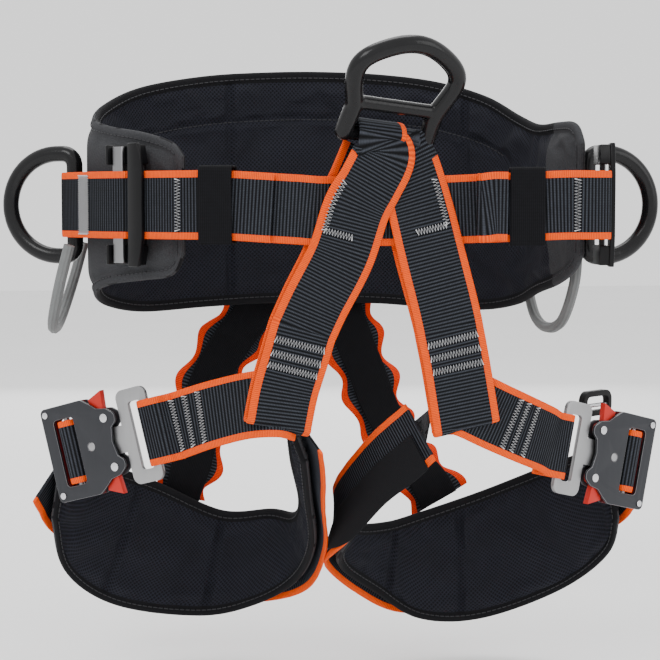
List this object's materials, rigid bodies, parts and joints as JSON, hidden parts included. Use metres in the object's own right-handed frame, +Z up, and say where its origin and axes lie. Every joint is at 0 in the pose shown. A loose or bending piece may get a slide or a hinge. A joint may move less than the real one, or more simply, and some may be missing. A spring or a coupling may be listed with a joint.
{
  "type": "tree climbing saddle",
  "caption": "Padded work-positioning sit harness: waist belt with side rings and gear loops, tilting front ring on V straps, padded leg loops with quick buckles.",
  "frame": {"origin": "centre of the waist opening at the height of the belt webbing", "axes": "+Z up, the wearer's front faces -Y, +X towards the right of someone who looks at the front"},
  "size_m": [0.4616, 0.2856, 0.4264],
  "materials": {
    "mesh_pad": "black spacer mesh and woven cover",
    "webbing": "ribbed dark webbing with orange edges",
    "elastic": "plain black knitted elastic",
    "ring_black": "semi-gloss black",
    "adjuster_steel": "semi-gloss black",
    "bar_steel": "satin",
    "plate_grey": "satin dark grey anodised",
    "spacer_red": "dark red anodised",
    "lever_red": "red anodised",
    "tongue_steel": "satin silver",
    "lock_plastic": "matt black",
    "loop_grey": "matt grey, fluted"
  },
  "bodies": {
    "belt": {"waist_pad": "mesh_pad", "belt_webbing": "webbing", "front_webbing": "webbing", "ring_patch_left": "webbing", "keeper_left": "elastic", "adjuster_frame_left": "adjuster_steel", "v_strap_upper_left": "webbing", "rear_webbing_left": "webbing", "rear_elastic_left": "elastic", "ring_patch_right": "webbing", "keeper_right": "elastic", "adjuster_frame_right": "adjuster_steel", "v_strap_upper_right": "webbing", "rear_webbing_right": "webbing", "rear_elastic_right": "elastic"},
    "ventral_ring": {"ventral_ring": "ring_black"},
    "side_ring_left": {"side_ring_left": "ring_black"},
    "gear_loop_left": {"gear_loop_left": "loop_grey"},
    "adjuster_bar_left": {"adjuster_bar_left": "bar_steel"},
    "leg_left": {"v_strap_lower_left": "webbing", "leg_pad_left": "mesh_pad", "leg_webbing_left": "webbing", "leg_strap_left": "webbing", "tongue_left": "tongue_steel", "lock_frame_left": "lock_plastic", "lock_roller_left": "bar_steel"},
    "buckle_left": {"buckle_front_left": "plate_grey", "buckle_back_left": "plate_grey", "buckle_spacer_left": "spacer_red", "buckle_rod_left": "bar_steel", "buckle_rivets_left": "bar_steel", "lever_spring_upper_left": "bar_steel", "lever_spring_lower_left": "bar_steel", "adjust_strap_left": "webbing"},
    "lever_upper_left": {"lever_upper_left": "lever_red"},
    "lever_lower_left": {"lever_lower_left": "lever_red"},
    "side_ring_right": {"side_ring_right": "ring_black"},
    "gear_loop_right": {"gear_loop_right": "loop_grey"},
    "adjuster_bar_right": {"adjuster_bar_right": "bar_steel"},
    "leg_right": {"v_strap_lower_right": "webbing", "leg_pad_right": "mesh_pad", "leg_webbing_right": "webbing", "leg_strap_right": "webbing", "tongue_right": "tongue_steel", "lock_frame_right": "lock_plastic", "lock_roller_right": "bar_steel"},
    "buckle_right": {"buckle_front_right": "plate_grey", "buckle_back_right": "plate_grey", "buckle_spacer_right": "spacer_red", "buckle_rod_right": "bar_steel", "buckle_rivets_right": "bar_steel", "lever_spring_upper_right": "bar_steel", "lever_spring_lower_right": "bar_steel", "adjust_strap_right": "webbing"},
    "lever_upper_right": {"lever_upper_right": "lever_red"},
    "lever_lower_right": {"lever_lower_right": "lever_red"}
  },
  "joints": [
    {"name": "ventral_ring_tilt", "type": "hinge", "parent": "belt", "child": "ventral_ring", "pos_m": [0.0156, -0.116, 0.044], "axis": [0.9578, 0.2694, -0.0998], "range_deg": [-45, 42]},
    {"name": "side_ring_swing_left", "type": "hinge", "parent": "belt", "child": "side_ring_left", "pos_m": [-0.17833, 0.02497, 0], "axis": [0, 0, 1], "range_deg": [-40, 55]},
    {"name": "gear_loop_flex_left", "type": "hinge", "parent": "belt", "child": "gear_loop_left", "pos_m": [-0.17711, 0.02887, -0.0275], "axis": [0.1423, 0.9898, 0], "range_deg": [-10, 25]},
    {"name": "adjuster_bar_slide_left", "type": "slide", "parent": "belt", "child": "adjuster_bar_left", "axis": [0.6198, -0.7848, 0], "range_m": [0, 0.004]},
    {"name": "leg_loop_swing_left", "type": "hinge", "parent": "belt", "child": "leg_left", "pos_m": [-0.037, -0.10925, -0.08], "axis": [1, 0, 0], "range_deg": [-10, 10], "deforming": ["rear_webbing_left", "rear_elastic_left"]},
    {"name": "buckle_slide_left", "type": "slide", "parent": "leg_left", "child": "buckle_left", "axis": [-0.7369, 0.6249, -0.258], "range_m": [0, 0.016], "deforming": ["adjust_strap_left"]},
    {"name": "lever_upper_turn_left", "type": "hinge", "parent": "buckle_left", "child": "lever_upper_left", "pos_m": [-0.15988, -0.03342, -0.14439], "axis": [0.642, 0.7664, 0.0201], "range_deg": [0, 22], "deforming": ["lever_spring_upper_left"]},
    {"name": "lever_lower_turn_left", "type": "hinge", "parent": "buckle_left", "child": "lever_lower_left", "pos_m": [-0.15273, -0.03855, -0.17723], "axis": [-0.642, -0.7664, -0.0201], "range_deg": [0, 22], "deforming": ["lever_spring_lower_left"]},
    {"name": "side_ring_swing_right", "type": "hinge", "parent": "belt", "child": "side_ring_right", "pos_m": [0.17067, -0.05912, 0], "axis": [0, 0, 1], "range_deg": [-45, 38]},
    {"name": "gear_loop_flex_right", "type": "hinge", "parent": "belt", "child": "gear_loop_right", "pos_m": [0.16496, 0.00562, -0.0275], "axis": [0.096, -0.9954, 0], "range_deg": [0, 18]},
    {"name": "adjuster_bar_slide_right", "type": "slide", "parent": "belt", "child": "adjuster_bar_right", "axis": [-0.1701, -0.9854, 0], "range_m": [0, 0.004]},
    {"name": "leg_loop_swing_right", "type": "hinge", "parent": "belt", "child": "leg_right", "pos_m": [0.0585, -0.115, -0.08], "axis": [1, 0, 0], "range_deg": [-10, 10], "deforming": ["rear_webbing_right", "rear_elastic_right"]},
    {"name": "buckle_slide_right", "type": "slide", "parent": "leg_right", "child": "buckle_right", "axis": [0.8606, 0.4523, -0.2342], "range_m": [0, 0.016], "deforming": ["adjust_strap_right"]},
    {"name": "lever_upper_turn_right", "type": "hinge", "parent": "buckle_right", "child": "lever_upper_right", "pos_m": [0.18287, -0.053, -0.15785], "axis": [0.4652, -0.8852, 0], "range_deg": [0, 22], "deforming": ["lever_spring_upper_right"]},
    {"name": "lever_lower_turn_right", "type": "hinge", "parent": "buckle_right", "child": "lever_lower_right", "pos_m": [0.17582, -0.0567, -0.19091], "axis": [-0.4652, 0.8852, 0], "range_deg": [0, 22], "deforming": ["lever_spring_lower_right"]}
  ],
  "couplings": [
    {"joint": "lever_upper_turn_left", "follows": "buckle_slide_left", "rad_per_m": 23.56},
    {"joint": "lever_lower_turn_left", "follows": "buckle_slide_left", "rad_per_m": 23.56},
    {"joint": "lever_upper_turn_right", "follows": "buckle_slide_right", "rad_per_m": 23.56},
    {"joint": "lever_lower_turn_right", "follows": "buckle_slide_right", "rad_per_m": 23.56}
  ]
}
